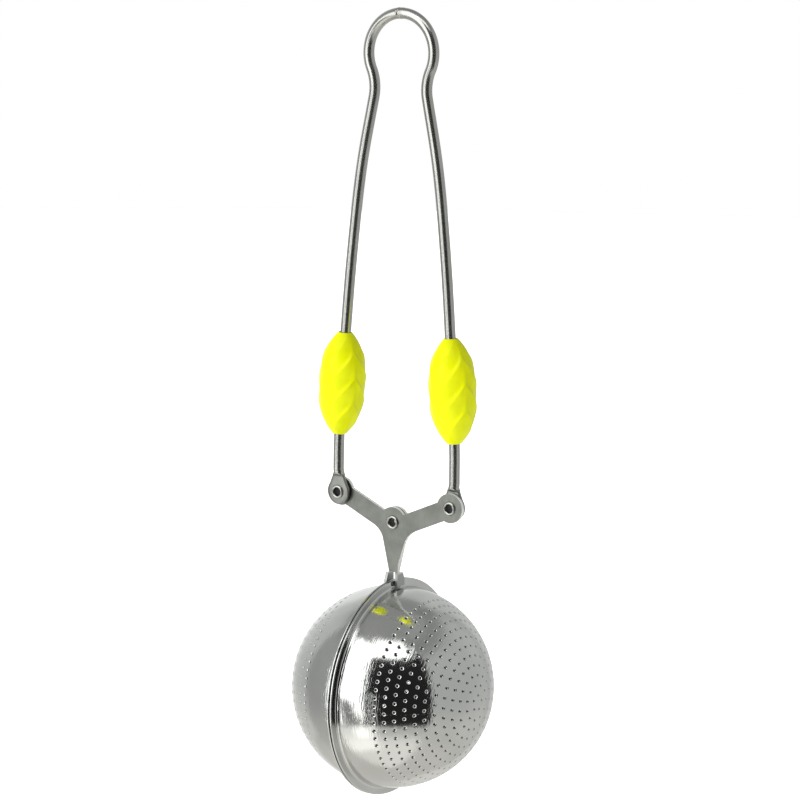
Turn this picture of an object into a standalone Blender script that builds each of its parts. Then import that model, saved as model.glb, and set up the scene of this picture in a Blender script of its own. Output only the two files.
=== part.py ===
"""Squeeze-handled tea infuser: two perforated half balls on a crossed pair of levers.

A sprung wire handle with a hanging loop ends in two flattened eyes.  Each eye is
riveted to the outer arm of a bell-crank lever, the levers cross on a centre rivet,
and the foot of each lever carries one half of the ball.  Squeezing the two grips
together swings the halves apart.

Frame: the origin is where a hook bears inside the top of the hanging loop, +Z is up
along the handle, +X points to the right-hand half of the ball and -Y to the front.
Apart from the height of its grips, the object looks the same after half a turn about
Z, so each right-hand piece is modelled once and its left-hand twin shares the mesh
under a pivot turned by 180 degrees.
"""
import math

import bmesh
import bpy
from mathutils import Matrix, Vector

MM = 0.001

# --- driving dimensions -------------------------------------------------------------
GAP = 0.3 * MM                      # between neighbours that touch on the real object

# wire handle
WIRE_RADIUS = 1.25 * MM
LOOP_RADIUS = 8.8 * MM              # centre line of the hanging loop
LOOP_WRAP = math.radians(25)        # the loop's arc goes on this far below its widest place
NECK_RADIUS = 10.0 * MM             # reverse bend between the loop and a leg
LEG_LEAN = math.radians(11.5)       # lean of a leg where it leaves the neck
LEG_POINTS = (                      # (x, z) that the bowed leg passes through
    (10.45 * MM, -34.0 * MM),
    (12.75 * MM, -54.0 * MM),
    (14.35 * MM, -74.0 * MM),
    (15.55 * MM, -94.0 * MM),
    (15.70 * MM, -104.0 * MM),
)
WELD_HALF_LENGTH = 0.5 * MM
WELD_RADIUS = 1.45 * MM
WELD_CROWN = 0.2 * MM               # half length of the weld's proud middle
WELD_GAP = 0.4 * MM                 # the loop flexes here, so it is wider than GAP

# pivots
RIVET_X = 15.55 * MM                # outer rivets, left and right of the centre plane
RIVET_Z = -109.5 * MM
CENTRE_Z = -114.75 * MM             # centre rivet
RIVET_BORE_RADIUS = 1.0 * MM
RIVET_SHANK_RADIUS = 1.35 * MM
RIVET_RIM_RADIUS = 1.7 * MM
RIVET_RIM_THICKNESS = 0.4 * MM
RIVET_SLACK = 0.15 * MM             # radial clearance of a shank in its hole
RIM_SLACK = 0.2 * MM                # clearance under a rolled rim

# flattened eyes
EYE_RADIUS = 3.0 * MM
EYE_THICKNESS = 1.1 * MM
EYE_NECK = 5.0 * MM                 # the wire is still round this far above the rivet
EYE_TAPER = (                       # height above the rivet, half width, half thickness
    (4.2 * MM, 1.35 * MM, 1.15 * MM),
    (3.4 * MM, 1.6 * MM, 0.9 * MM),
    (2.7 * MM, 1.95 * MM, 0.65 * MM),
)
EYE_ANGLES = (38, *range(64, 169, 13))  # degrees round the eye from its top, one section at each
EYE_SQUARENESS = 1.6                # how much a flattened section fills out its corners

# levers
PLATE_THICKNESS = 0.85 * MM
HUB_RADIUS = 3.55 * MM
ARM_END_RADIUS = 3.4 * MM
ARM_HALF_WIDTH = 2.25 * MM
ARM_SLOPE = math.radians(24)
CROTCH_RADIUS = 5.5 * MM            # fillet between the outer arm and the lower arm
TIP_INNER_X = -0.85 * MM
TIP_Z = -11.7 * MM                  # end of the flat lower arm, below the centre rivet
LOWER_ARM_LEAN = math.atan(2.99)    # steep edge of the lower arm
LOWER_ARM_FOOT = (1.07 * MM, -11.3 * MM)
FOOT_THICKNESS = 0.75 * MM
FOOT_TOP_DROP = 0.3 * MM            # the foot's free part starts this far below TIP_Z
FOOT_REACH_TOP = 1.2 * MM           # how far the foot reaches across, at its top
FOOT_REACH_BASE = 1.9 * MM          # and at the flange
FOOT_BASE_RISE = 0.45 * MM          # the foot ends this far above the bowl's outside radius
FOOT_ROOT_OVERLAP = 0.8 * MM        # how far the foot runs up into the lower arm
FOOT_INSET = 0.01 * MM              # keeps the foot's faces off the arm's tip face in the union

# half ball
BALL_Z = -153.95 * MM
BOWL_RADIUS = 23.6 * MM             # outside
BOWL_WALL = 0.5 * MM
FLANGE_RADIUS = 25.5 * MM
FLANGE_THICKNESS = 0.5 * MM
FLANGE_FILLET = 0.6 * MM
FLANGE_EDGE = 0.1 * MM              # chamfer on the rim

# grips
RIGHT_GRIP_Z = -82.75 * MM           # the sleeves are pushed on by hand, not quite level
LEFT_GRIP_Z = -83.75 * MM
GRIP_LENGTH = 23.9 * MM
GRIP_RADIUS = 5.3 * MM
GRIP_END_RADIUS = 1.6 * MM
GRIP_BORE_RADIUS = 1.5 * MM
GRIP_FULLNESS = 2.8                  # exponent of the barrel's curve along it

# facets
SHARP_ANGLE = math.radians(35)
WIRE_SIDES = 12
LOOP_STEPS = 14
NECK_STEPS = 6
LEG_STEPS = 3                       # between two neighbouring leg points
EYE_HOLE_SIDES = 24
ARM_END_STEPS = 26
HUB_STEPS = 20
CROTCH_STEPS = 8
BALL_STEPS = 54
BOWL_ARC_STEPS = 9
FILLET_STEPS = 2
GRIP_STEPS = 24
GRIP_PROFILE_STEPS = 16
RIVET_STEPS = 20

# --- derived dimensions ---------------------------------------------------------------
LAYER_INNER = GAP / 2               # the two plates stand this far each side of Y = 0
PLATE_OUTER = LAYER_INNER + PLATE_THICKNESS
EYE_OUTER = LAYER_INNER + EYE_THICKNESS
EYE_MIDDLE = LAYER_INNER + EYE_THICKNESS / 2
FLANGE_INNER_X = GAP / 2
FLANGE_OUTER_X = FLANGE_INNER_X + FLANGE_THICKNESS
FOOT_INNER_X = FLANGE_OUTER_X + RIM_SLACK
FOOT_OUTER_X = FOOT_INNER_X + FOOT_THICKNESS
FOOT_BASE_Z = BALL_Z - CENTRE_Z + BOWL_RADIUS + FOOT_BASE_RISE
WIRE_END_X = WELD_HALF_LENGTH + WELD_GAP
DRILL_LENGTH = 4 * EYE_OUTER


# --- scene helpers ----------------------------------------------------------------------
def clear_scene():
    for obj in list(bpy.data.objects):
        bpy.data.objects.remove(obj, do_unlink=True)


def new_collection(name):
    collection = bpy.data.collections.new(name)
    bpy.context.scene.collection.children.link(collection)
    return collection


def new_material(name, colour, metallic, roughness):
    material = bpy.data.materials.new(name)
    material.use_nodes = True
    shader = material.node_tree.nodes["Principled BSDF"]
    shader.inputs["Base Color"].default_value = (*colour, 1.0)
    shader.inputs["Metallic"].default_value = metallic
    shader.inputs["Roughness"].default_value = roughness
    return material


def new_pivot(name, location, half_turn):
    """An empty on a joint's axis; a left-hand one is turned by half a turn about Z."""
    pivot = bpy.data.objects.new(name, None)
    pivot.empty_display_size = 5 * MM
    pivot.location = location
    pivot.rotation_euler = (0.0, 0.0, math.pi if half_turn else 0.0)
    parts.objects.link(pivot)
    return pivot


def place(name, mesh, material, parent=None, location=(0.0, 0.0, 0.0), rotation=(0.0, 0.0, 0.0)):
    """One named sub-part that shows the given mesh."""
    if not mesh.materials:
        mesh.materials.append(material)
    obj = bpy.data.objects.new(name, mesh)
    obj.location = location
    obj.rotation_euler = rotation
    obj.parent = parent
    parts.objects.link(obj)
    return obj


def mesh_from_bmesh(name, bm):
    bmesh.ops.recalc_face_normals(bm, faces=bm.faces)
    mesh = bpy.data.meshes.new(name)
    bm.to_mesh(mesh)
    bm.free()
    mesh.shade_smooth()
    mesh.set_sharp_from_angle(angle=SHARP_ANGLE)
    return mesh


def turn(obj, steps, closed_on_axis=True):
    """Turns the object's profile about its own Z axis."""
    screw = obj.modifiers.new("turned", "SCREW")
    screw.axis = "Z"
    screw.steps = steps
    screw.render_steps = steps
    screw.use_merge_vertices = closed_on_axis
    screw.merge_threshold = 0.00001
    screw.use_smooth_shade = True


def profile_mesh(name, points, ring):
    """An edge chain in the XZ plane; a ring's last point joins its first."""
    count = len(points)
    edges = [(i, (i + 1) % count) for i in range(count if ring else count - 1)]
    mesh = bpy.data.meshes.new(name)
    mesh.from_pydata([(x, 0.0, z) for x, z in points], edges, [])
    return mesh


def arc(centre, radius, start, end, steps):
    """Points on a circle, from the start angle to the end angle, both included."""
    angles = [start + (end - start) * i / steps for i in range(steps + 1)]
    return [(centre[0] + radius * math.cos(a), centre[1] + radius * math.sin(a)) for a in angles]


def boolean(obj, cutter, operation):
    """Applies one exact Boolean to the object and returns the resulting mesh."""
    modifier = obj.modifiers.new(operation.lower(), "BOOLEAN")
    modifier.operation = operation
    modifier.solver = "EXACT"
    modifier.object = cutter
    evaluated = obj.evaluated_get(bpy.context.evaluated_depsgraph_get())
    mesh = bpy.data.meshes.new_from_object(evaluated)
    obj.modifiers.remove(modifier)
    return mesh


def new_cutter(name, mesh):
    cutter = bpy.data.objects.new(name, mesh)
    cutter.hide_render = True
    cutter.display_type = "WIRE"
    cutters.objects.link(cutter)
    return cutter


# --- the wire handle ----------------------------------------------------------------------
def spline_run(points, start_tangent, steps):
    """A smooth run through the points; its slope at the first one is given."""
    points = [Vector(p) for p in points]
    first = points[1] - Vector(start_tangent) * (points[2] - points[0]).length
    knots = [first, *points, points[-1] * 2 - points[-2]]
    run = []
    for i in range(1, len(knots) - 2):
        a, b, c, d = knots[i - 1:i + 3]
        for step in range(steps):
            t = step / steps
            run.append(0.5 * (2 * b + (c - a) * t + (2 * a - 5 * b + 4 * c - d) * t ** 2
                              + (3 * b - a - 3 * c + d) * t ** 3))
    return run + [points[-1]]


def handle_path():
    """Centre line of the right-hand half, as (x, z) from the weld down, and the leg's top height."""
    loop_centre = (0.0, WIRE_RADIUS - LOOP_RADIUS)
    top = math.acos(WIRE_END_X / LOOP_RADIUS)
    loop = arc(loop_centre, LOOP_RADIUS, top, -LOOP_WRAP, LOOP_STEPS)
    reach = LOOP_RADIUS + NECK_RADIUS
    neck_centre = (reach * math.cos(LOOP_WRAP), loop_centre[1] - reach * math.sin(LOOP_WRAP))
    neck = arc(neck_centre, NECK_RADIUS, math.pi - LOOP_WRAP, math.pi + LEG_LEAN, NECK_STEPS)
    lean = (math.sin(LEG_LEAN), -math.cos(LEG_LEAN))
    leg = spline_run([neck[-1], *LEG_POINTS], lean, LEG_STEPS)
    return loop + neck[1:] + leg[1:], neck[-1][1]


def eye_sections():
    """The flattened end below the round wire: (height above the rivet, half width, half thickness)."""
    half = EYE_THICKNESS / 2
    sections = [(EYE_NECK, WIRE_RADIUS, WIRE_RADIUS), *EYE_TAPER]
    for angle in EYE_ANGLES:
        height = EYE_RADIUS * math.cos(math.radians(angle))
        sections.append((height, math.sqrt(EYE_RADIUS ** 2 - height ** 2), half))
    return sections


def section_ring(centre, across, half_width, half_thickness):
    """A round or flattened section: across is its wide direction, Y its thin one."""
    flatness = 1 - min(half_thickness / half_width, 1.0)
    power = 1 / (1 + EYE_SQUARENESS * flatness)
    ring = []
    for i in range(WIRE_SIDES):
        angle = math.tau * (i + 0.5) / WIRE_SIDES
        c, s = math.cos(angle), math.sin(angle)
        wide = half_width * math.copysign(abs(c) ** power, c)
        thin = half_thickness * math.copysign(abs(s) ** power, s)
        ring.append(centre + across * wide + Vector((0, thin, 0)))
    return ring


def layer_shift(z, leg_top):
    """How far the leg has moved from Y = 0 to the layer of its eye, at a height."""
    return EYE_MIDDLE * min(max((leg_top - z) / (leg_top - RIVET_Z), 0.0), 1.0)


def handle_wire_mesh():
    """Right-hand half of the wire, from the weld to its riveted eye, about the outer rivet."""
    path, leg_top = handle_path()
    rings = []
    for i, (x, z) in enumerate(path):
        before = path[max(i - 1, 0)]
        after = path[min(i + 1, len(path) - 1)]
        along = Vector((after[0] - before[0], 0, after[1] - before[1])).normalized()
        if i == 0:
            along = Vector((1, 0, 0))
        across = Vector((-along.z, 0, along.x))
        centre = Vector((x, layer_shift(z, leg_top), z))
        rings.append(section_ring(centre, across, WIRE_RADIUS, WIRE_RADIUS))
    for height, half_width, half_thickness in eye_sections():
        centre = Vector((RIVET_X, EYE_MIDDLE, RIVET_Z + height))
        rings.append(section_ring(centre, Vector((1, 0, 0)), half_width, half_thickness))
    bm = bmesh.new()
    loops = [[bm.verts.new(p - Vector((RIVET_X, 0, RIVET_Z))) for p in ring] for ring in rings]
    for upper, lower in zip(loops, loops[1:]):
        for i in range(WIRE_SIDES):
            j = (i + 1) % WIRE_SIDES
            bm.faces.new((upper[i], upper[j], lower[j], lower[i]))
    bm.faces.new(loops[0])
    bm.faces.new(loops[-1])
    blank = new_cutter("handle_blank", mesh_from_bmesh("handle_blank", bm))
    drill = new_cutter("eye_drill", cylinder_mesh(RIVET_SHANK_RADIUS + RIVET_SLACK, DRILL_LENGTH))
    return boolean(blank, drill, "DIFFERENCE")


def cylinder_mesh(radius, depth):
    """A drill along Y through its own origin."""
    bm = bmesh.new()
    bmesh.ops.create_cone(bm, cap_ends=True, segments=EYE_HOLE_SIDES, radius1=radius, radius2=radius,
                          depth=depth, matrix=Matrix.Rotation(math.pi / 2, 4, "X"))
    return mesh_from_bmesh("drill", bm)


def weld_mesh():
    """Slightly proud butt weld that joins the two wires, turned about its own Z."""
    half = WELD_HALF_LENGTH
    points = [(0.0, half), (WIRE_RADIUS, half), (WELD_RADIUS, WELD_CROWN)]
    points += [(x, -z) for x, z in reversed(points)]
    return profile_mesh("handle_weld", points, ring=False)


# --- grips ------------------------------------------------------------------------------
def grip_mesh():
    """Barrel-shaped sleeve, turned about its own Z."""
    half = GRIP_LENGTH / 2
    swell = GRIP_RADIUS - GRIP_END_RADIUS
    outside = []
    for i in range(GRIP_PROFILE_STEPS + 1):
        t = -math.cos(math.pi * i / GRIP_PROFILE_STEPS)
        radius = GRIP_END_RADIUS + swell * (1 - abs(t) ** GRIP_FULLNESS)
        outside.append((radius, -half * t))
    return profile_mesh("grip", outside + [(GRIP_BORE_RADIUS, -half), (GRIP_BORE_RADIUS, half)], ring=True)


def leg_frame(z):
    """Place and slope of the right-hand leg's centre line at a height."""
    path, leg_top = handle_path()
    for (x0, z0), (x1, z1) in zip(path, path[1:]):
        if z1 <= z <= z0:
            x = x0 + (x1 - x0) * (z0 - z) / (z0 - z1)
            return Vector((x, layer_shift(z, leg_top), z)), math.atan2(x0 - x1, z0 - z1)
    raise ValueError("no leg at this height")


# --- levers -----------------------------------------------------------------------------
def lever_outline():
    """Right-hand lever in the XZ plane about the centre rivet, counter-clockwise."""
    end = Vector((RIVET_X, RIVET_Z - CENTRE_Z))
    along = Vector((math.cos(ARM_SLOPE), math.sin(ARM_SLOPE)))
    normal = Vector((-along.y, along.x))
    # the arm's upper edge meets the hub and the round end on these angles
    upper = end + normal * ARM_HALF_WIDTH
    hub_start = ARM_SLOPE + math.asin(upper.dot(normal) / HUB_RADIUS)
    end_half = math.asin(ARM_HALF_WIDTH / ARM_END_RADIUS)
    turned = math.pi - end_half
    round_end = arc(end, ARM_END_RADIUS, ARM_SLOPE - turned, ARM_SLOPE + turned, ARM_END_STEPS)
    # the inner edge of the lower arm is tangent to the hub
    tip = Vector((TIP_INNER_X, TIP_Z))
    hub_end = math.atan2(tip.y, tip.x) + math.tau - math.acos(HUB_RADIUS / tip.length)
    hub = arc((0.0, 0.0), HUB_RADIUS, hub_start, hub_end, HUB_STEPS)
    # fillet between the outer edge of the lower arm and the lower edge of the outer arm
    edge = Vector((math.cos(LOWER_ARM_LEAN), math.sin(LOWER_ARM_LEAN)))
    edge_normal = Vector((edge.y, -edge.x))
    fillet_centre = crossing(Vector(LOWER_ARM_FOOT) + edge_normal * CROTCH_RADIUS, edge,
                             end - normal * (ARM_HALF_WIDTH + CROTCH_RADIUS), along)
    fillet = arc(fillet_centre, CROTCH_RADIUS, math.pi / 2 + ARM_SLOPE, math.pi / 2 + LOWER_ARM_LEAN,
                 CROTCH_STEPS)
    foot_edge_z = LOWER_ARM_FOOT[1] + (FOOT_OUTER_X - LOWER_ARM_FOOT[0]) * edge.y / edge.x
    tip_points = [tuple(tip), (FOOT_OUTER_X, TIP_Z), (FOOT_OUTER_X, foot_edge_z)]
    return round_end + hub + tip_points + fillet[::-1]


def crossing(point_a, along_a, point_b, along_b):
    """Where two lines in a plane cross."""
    gap = point_b - point_a
    return point_a + along_a * (gap.cross(along_b) / along_a.cross(along_b))


def flat_plate(name, outlines, thickness):
    """A sheet piece cut to the first outline, with the others as holes, lying in its own XY plane."""
    curve = bpy.data.curves.new(name, "CURVE")
    curve.dimensions = "2D"
    curve.fill_mode = "BOTH"
    curve.extrude = thickness / 2
    for outline in outlines:
        spline = curve.splines.new("POLY")
        spline.points.add(len(outline) - 1)
        for point, (x, y) in zip(spline.points, outline):
            point.co = (x, y, 0.0, 1.0)
        spline.use_cyclic_u = True
    obj = bpy.data.objects.new(name, curve)
    cutters.objects.link(obj)
    evaluated = obj.evaluated_get(bpy.context.evaluated_depsgraph_get())
    mesh = bpy.data.meshes.new_from_object(evaluated)
    bpy.data.objects.remove(obj, do_unlink=True)
    bm = bmesh.new()
    bm.from_mesh(mesh)
    bmesh.ops.remove_doubles(bm, verts=bm.verts, dist=0.000001)
    bpy.data.meshes.remove(mesh)
    return bm


def lever_mesh():
    """Right-hand bell crank: outer arm, hub, tapering lower arm and a foot bent to the flange."""
    hole_radius = RIVET_SHANK_RADIUS + RIVET_SLACK
    hub_hole = arc((0.0, 0.0), hole_radius, 0.0, math.tau, EYE_HOLE_SIDES)[:-1]
    end_hole = arc((RIVET_X, RIVET_Z - CENTRE_Z), hole_radius, 0.0, math.tau, EYE_HOLE_SIDES)[:-1]
    bm = flat_plate("lever_plate", [lever_outline(), hub_hole, end_hole], PLATE_THICKNESS)
    front_layer = Matrix.Translation((0, -(LAYER_INNER + PLATE_THICKNESS / 2), 0))
    bmesh.ops.transform(bm, matrix=front_layer @ Matrix.Rotation(math.pi / 2, 4, "X"), verts=bm.verts)
    plate = new_cutter("lever_plate", mesh_from_bmesh("lever_plate", bm))
    # the foot's outline is drawn as (y, z) and stands in the YZ plane
    foot_top = TIP_Z - FOOT_TOP_DROP
    foot_outline = [
        (-PLATE_OUTER, TIP_Z + FOOT_ROOT_OVERLAP),
        (-PLATE_OUTER, FOOT_BASE_Z),
        (FOOT_REACH_BASE, FOOT_BASE_Z),
        (FOOT_REACH_BASE, BALL_Z - CENTRE_Z + FLANGE_RADIUS),
        (FOOT_REACH_TOP, foot_top),
        (-LAYER_INNER, foot_top),
        (-LAYER_INNER, TIP_Z + FOOT_ROOT_OVERLAP),
    ]
    bm = flat_plate("lever_foot", [foot_outline], FOOT_THICKNESS - 2 * FOOT_INSET)
    foot_x = (FOOT_INNER_X + FOOT_OUTER_X) / 2
    stand = Matrix(((0, 0, 1, foot_x), (1, 0, 0, 0), (0, 1, 0, 0), (0, 0, 0, 1)))
    bmesh.ops.transform(bm, matrix=stand, verts=bm.verts)
    foot = new_cutter("lever_foot", mesh_from_bmesh("lever_foot", bm))
    mesh = boolean(plate, foot, "UNION")
    mesh.set_sharp_from_angle(angle=SHARP_ANGLE)
    return mesh


# --- rivets -----------------------------------------------------------------------------
def rivet_mesh(front_stack, back_stack):
    """Tubular rivet about its own Z, which points to the front; a rim is rolled over each side."""
    bore, shank, rim = RIVET_BORE_RADIUS, RIVET_SHANK_RADIUS, RIVET_RIM_RADIUS
    roll = RIVET_RIM_THICKNESS / 2

    def rolled_rim(stack):
        under = stack + RIM_SLACK
        return [(bore, under + 1.4 * roll), (bore + 0.25 * roll, under + 2 * roll),
                (rim - roll, under + 2 * roll), (rim - 0.3 * roll, under + 1.7 * roll),
                (rim, under + roll), (rim - 0.3 * roll, under + 0.3 * roll),
                (rim - roll, under), (shank, under)]

    front = rolled_rim(front_stack)
    back = [(x, -z) for x, z in reversed(rolled_rim(back_stack))]
    return profile_mesh("rivet", front + back, ring=True)


# --- half ball --------------------------------------------------------------------------
def shell_mesh():
    """Half ball with its flange, turned about its own Z; the flange's face is next to Z = 0."""
    seat = FLANGE_OUTER_X + FLANGE_FILLET
    outer_start = math.asin(seat / BOWL_RADIUS)
    inner_radius = BOWL_RADIUS - BOWL_WALL
    mouth_fillet = FLANGE_FILLET + BOWL_WALL
    mouth = FLANGE_INNER_X + mouth_fillet
    inner_start = math.asin(mouth / inner_radius)
    outside = arc((0.0, 0.0), BOWL_RADIUS, math.pi / 2, outer_start, BOWL_ARC_STEPS)
    outer_fillet = arc((outside[-1][0] + FLANGE_FILLET, seat), FLANGE_FILLET, math.pi, 1.5 * math.pi,
                       FILLET_STEPS)
    rim = [
        (FLANGE_RADIUS - FLANGE_EDGE, FLANGE_OUTER_X),
        (FLANGE_RADIUS, FLANGE_OUTER_X - FLANGE_EDGE),
        (FLANGE_RADIUS, FLANGE_INNER_X),
    ]
    inside = arc((0.0, 0.0), inner_radius, inner_start, math.pi / 2, BOWL_ARC_STEPS)
    inner_fillet = arc((inside[0][0] + mouth_fillet, mouth), mouth_fillet, 1.5 * math.pi, math.pi,
                       FILLET_STEPS)
    points = outside + outer_fillet[1:] + rim + inner_fillet[:-1] + inside
    points[0] = (0.0, points[0][1])
    points[-1] = (0.0, points[-1][1])
    return profile_mesh("half_ball", points, ring=False)


# --- assembly -----------------------------------------------------------------------------
clear_scene()
parts = new_collection("tea_infuser")
cutters = new_collection("cutters")

shell_steel = new_material("shell_steel", (0.62, 0.62, 0.60), 1.0, 0.12)
lever_steel = new_material("lever_steel", (0.50, 0.50, 0.48), 1.0, 0.32)
wire_steel = new_material("wire_steel", (0.60, 0.60, 0.59), 1.0, 0.16)
rivet_steel = new_material("rivet_steel", (0.66, 0.65, 0.62), 1.0, 0.2)
weld_steel = new_material("weld_steel", (0.55, 0.54, 0.52), 1.0, 0.35)
grip_plastic = new_material("grip_plastic", (0.78, 0.86, 0.02), 0.0, 0.45)

to_front = (math.pi / 2, 0.0, 0.0)      # a turned piece's Z points to the front
to_right = (0.0, math.pi / 2, 0.0)      # a turned piece's Z points along +X

wire = handle_wire_mesh()
grip = grip_mesh()
lever = lever_mesh()
outer_rivet = rivet_mesh(PLATE_OUTER, EYE_OUTER)
shell = shell_mesh()

for side, half_turn, grip_z in (("right", False, RIGHT_GRIP_Z), ("left", True, LEFT_GRIP_Z)):
    sign = -1 if half_turn else 1
    lever_pivot = new_pivot(f"{side}_lever_pivot", (0.0, 0.0, CENTRE_Z), half_turn)
    handle_pivot = new_pivot(f"{side}_handle_pivot", (sign * RIVET_X, 0.0, RIVET_Z), half_turn)
    rivet_place = (RIVET_X, 0.0, RIVET_Z - CENTRE_Z)
    place(f"handle_wire_{side}", wire, wire_steel, handle_pivot)
    place(f"{side}_lever", lever, lever_steel, lever_pivot)
    turn(place(f"{side}_rivet", outer_rivet, rivet_steel, lever_pivot, rivet_place, to_front),
         RIVET_STEPS, closed_on_axis=False)
    turn(place(f"{side}_shell", shell, shell_steel, lever_pivot, (0.0, 0.0, BALL_Z - CENTRE_Z), to_right),
         BALL_STEPS)
    grip_place, grip_lean = leg_frame(grip_z)
    grip_offset = grip_place - Vector((RIVET_X, 0.0, RIVET_Z))
    turn(place(f"{side}_grip", grip, grip_plastic, handle_pivot, grip_offset, (0.0, grip_lean, 0.0)),
         GRIP_STEPS, closed_on_axis=False)

centre_rivet = rivet_mesh(PLATE_OUTER, PLATE_OUTER)
turn(place("centre_rivet", centre_rivet, rivet_steel, None, (0.0, 0.0, CENTRE_Z), to_front),
     RIVET_STEPS, closed_on_axis=False)
turn(place("handle_weld", weld_mesh(), weld_steel, None, (0.0, 0.0, WIRE_RADIUS), to_right), WIRE_SIDES)
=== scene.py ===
"""Looks of the squeeze-handled tea infuser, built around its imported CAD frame.

The object looks the same after half a turn about Z, so each right-hand piece is made
once and its left-hand twin is the same mesh turned round.
"""
import math

import bmesh
import bpy
import numpy as np
from mathutils import Matrix, Vector
from mathutils.geometry import delaunay_2d_cdt


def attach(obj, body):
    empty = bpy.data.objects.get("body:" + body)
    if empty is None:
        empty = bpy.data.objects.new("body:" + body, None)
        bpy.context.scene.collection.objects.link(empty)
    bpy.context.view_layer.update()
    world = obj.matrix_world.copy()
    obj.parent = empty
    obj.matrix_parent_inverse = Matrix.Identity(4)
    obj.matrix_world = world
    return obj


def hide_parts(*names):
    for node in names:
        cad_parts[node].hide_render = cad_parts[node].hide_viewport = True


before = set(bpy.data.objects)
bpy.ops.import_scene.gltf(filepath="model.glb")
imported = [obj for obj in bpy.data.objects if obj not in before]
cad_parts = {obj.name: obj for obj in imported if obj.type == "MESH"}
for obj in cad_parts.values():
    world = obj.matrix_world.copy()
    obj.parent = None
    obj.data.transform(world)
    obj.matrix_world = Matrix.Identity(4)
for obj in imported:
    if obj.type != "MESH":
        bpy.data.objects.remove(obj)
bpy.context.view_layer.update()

MM = 0.001
UP = Vector((0, 0, 1))
HALF_TURN = Matrix.Rotation(math.pi, 4, "Z")

# --- sizes shared with the CAD part, in metres ------------------------------------------
WIRE_RADIUS = 1.25 * MM
LOOP_RADIUS = 8.8 * MM
LOOP_WRAP = math.radians(25)
NECK_RADIUS = 10.0 * MM
LEG_LEAN = math.radians(11.5)
LEG_POINTS = ((10.45, -34.0), (12.75, -54.0), (14.35, -74.0), (15.55, -94.0), (15.70, -104.0))  # (x, z), mm
WIRE_END_X = 0.9 * MM               # the wire stops this far from the top of the loop
RIVET_X = 15.55 * MM
RIVET_Z = -109.5 * MM
CENTRE_Z = -114.75 * MM
FOOT_TOP_Z = (-127.4 * MM, -126.4 * MM)   # where the lever bends into its foot
EYE_RADIUS = 3.0 * MM
EYE_THICKNESS = 1.1 * MM
EYE_NECK = 4.6 * MM                 # the wire is still round this far above the rivet
EYE_JOIN = 1.8 * MM                 # and from here down its outline is the round eye's
EYE_SHOULDER = 0.35                 # the press flattens it over this share of the way between them
EYE_SQUARENESS = 1.6                # how much a flattened section fills out its corners
EYE_FINISH_TOP = 0.93 * EYE_NECK    # the press left its own grey finish from here down
LAYER_INNER = 0.15 * MM
PLATE_OUTER = 1.0 * MM
EYE_OUTER = LAYER_INNER + EYE_THICKNESS
EYE_MIDDLE = LAYER_INNER + EYE_THICKNESS / 2
EYE_HOLE_RADIUS = 1.5 * MM
DRILL_LENGTH = 8 * MM
RIVET_BORE_RADIUS = 0.95 * MM
RIVET_SHANK_RADIUS = 1.35 * MM
RIVET_RIM_RADIUS = 1.6 * MM
RIVET_RIM_GAP = 0.12 * MM           # between a rolled rim and the plate under it
RIVET_RIM_FLATNESS = 0.95           # height of a rolled rim against a true half circle
BALL_Z = -153.95 * MM
BOWL_RADIUS = 23.6 * MM
BOWL_WALL = 0.5 * MM
FLANGE_RADIUS = 25.5 * MM
FLANGE_INNER_X = 0.15 * MM
FLANGE_OUTER_X = 0.65 * MM
FLANGE_FILLET = 0.6 * MM
FLANGE_EDGE = 0.2 * MM              # rounding of the rim
GRIP_Z = {"right": -82.75 * MM, "left": -83.75 * MM}
GRIP_LENGTH = 23.9 * MM
GRIP_RADIUS = 5.3 * MM
GRIP_END_RADIUS = 1.6 * MM
GRIP_FULLNESS = 3.0                 # exponent of the barrel's curve along it
GRIP_BORE_RADIUS = 1.5 * MM
LEVER_EDGE_RADIUS = 0.2 * MM

# --- perforation --------------------------------------------------------------------------
HOLE_RINGS = 12
FIRST_RING = math.radians(4.3)      # from the pole, which has no hole
RING_STEP = math.radians(5.62)
INNER_RING_HOLES = 5
HOLES_MORE_PER_RING = 6
RING_START = math.radians(244)      # angle of the innermost ring's first hole
RING_TWIST = math.radians(2.2)      # each ring starts this much further round than the one inside it
PERFORATION_EDGE = math.radians(69)
HOLE_SIDES = 12
DIMPLE = (                          # from a hole's edge over its lip: radius, depth, tilt in degrees
    (0.25 * MM, 0.16 * MM, 66),
    (0.29 * MM, 0.11 * MM, 42),
    (0.42 * MM, 0.03 * MM, 28),
    (0.54 * MM, 0.0, 0),
)
BAND_SIDES = 180
BAND_STEPS = 12                     # along the plain band, outside and inside
FILLET_STEPS = 8                    # round each fillet between the band and its flange
RIM_STEPS = 5                       # round each edge of the flange

# --- facets --------------------------------------------------------------------------------
ROUND_SIDES = 48                    # rivets, their holes and the weld
WIRE_SIDES = 36
LOOP_STEPS = 48
NECK_STEPS = 20
LEG_STEPS = 10                      # between two neighbouring leg points
NECK_TO_EYE_STEPS = 24
EYE_ANGLES = range(63, 180, 4)      # degrees round the eye from its top, one section at each
GRIP_SIDES = 144
GRIP_ROWS = 180
WELD_ROWS = 61
ROLL_STEPS = 14                     # over the rolled rim of a rivet


# --- helpers --------------------------------------------------------------------------------
def arc(centre, radius, start, end, steps):
    """Points on a circle, from the start angle to the end angle, both included."""
    angles = [start + (end - start) * i / steps for i in range(steps + 1)]
    return [(centre[0] + radius * math.cos(a), centre[1] + radius * math.sin(a)) for a in angles]


def new_mesh(name, vertices, faces):
    mesh = bpy.data.meshes.new(name)
    mesh.from_pydata([tuple(v) for v in vertices], [], [tuple(f) for f in faces])
    mesh.validate()
    mesh.shade_smooth()
    return mesh


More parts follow.
